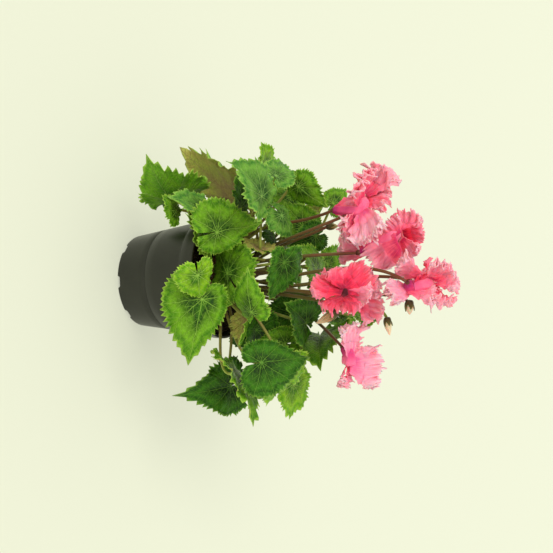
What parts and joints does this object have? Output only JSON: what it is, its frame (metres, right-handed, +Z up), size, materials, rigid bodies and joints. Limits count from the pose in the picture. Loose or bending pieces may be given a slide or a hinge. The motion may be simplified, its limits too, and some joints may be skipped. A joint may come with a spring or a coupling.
{
  "type": "potted cyclamen",
  "caption": "Miniature cyclamen in a plastic pot: heart-shaped toothed two-tone leaves and frilled salmon-pink blooms on bare stalks above the soil.",
  "frame": {"origin": "centre of the pot's flat underside", "axes": "+Z up, -Y towards the viewer of the front, +X to the viewer's right"},
  "size_m": [0.2042, 0.178, 0.2432],
  "materials": {
    "pot_plastic": "matte",
    "potting_soil": "matte",
    "stalk": "satin",
    "leaf": "satin",
    "petal": "satin",
    "bud": "satin",
    "withered_petal": "matte"
  },
  "bodies": {
    "root": {"pot": "pot_plastic", "soil": "potting_soil", "tuber_and_stalks": "stalk", "leaf_left_hanging": "leaf", "leaf_left_underside": "leaf", "leaf_left_narrow": "leaf", "leaf_front_left": "leaf", "leaf_front_left_low": "leaf", "leaf_rim_left": "leaf", "leaf_front": "leaf", "leaf_front_cupped": "leaf", "leaf_front_right": "leaf", "leaf_front_upright": "leaf", "leaf_middle_front": "leaf", "leaf_middle_right": "leaf", "leaf_middle_curled": "leaf", "leaf_right_large": "leaf", "leaf_right_pointed": "leaf", "leaf_right_hanging": "leaf", "leaf_right_round": "leaf", "leaf_right_inner": "leaf", "leaf_right_top": "leaf", "leaf_inner_right": "leaf", "leaf_centre": "leaf", "leaf_centre_top": "leaf", "leaf_left_top": "leaf", "leaf_left_inner": "leaf", "leaf_left_side": "leaf", "leaf_left_far": "leaf", "leaf_left_broad": "leaf", "leaf_left_shaded": "leaf", "leaf_left_middle": "leaf", "leaf_inner_left": "leaf", "leaf_inner_small": "leaf", "leaf_left_crown": "leaf", "leaf_centre_crown": "leaf", "leaf_right_crown": "leaf", "leaf_back_crown": "leaf", "leaf_right_behind": "leaf", "leaf_left_behind": "leaf", "leaf_left_upper": "leaf", "leaf_centre_shaded": "leaf", "leaf_centre_right": "leaf", "leaf_right_shaded": "leaf", "leaf_back_left": "leaf", "leaf_back": "leaf", "leaf_back_middle": "leaf", "leaf_back_right": "leaf", "leaf_back_left_low": "leaf", "leaf_back_inner": "leaf", "bloom_top": "petal", "bloom_upper_left": "petal", "bloom_left": "petal", "bloom_front": "petal", "bloom_small": "petal", "bloom_right": "petal", "bud_top": "bud", "bud_right": "bud", "bud_low": "bud", "bloom_withered": "withered_petal"}
  },
  "joints": []
}
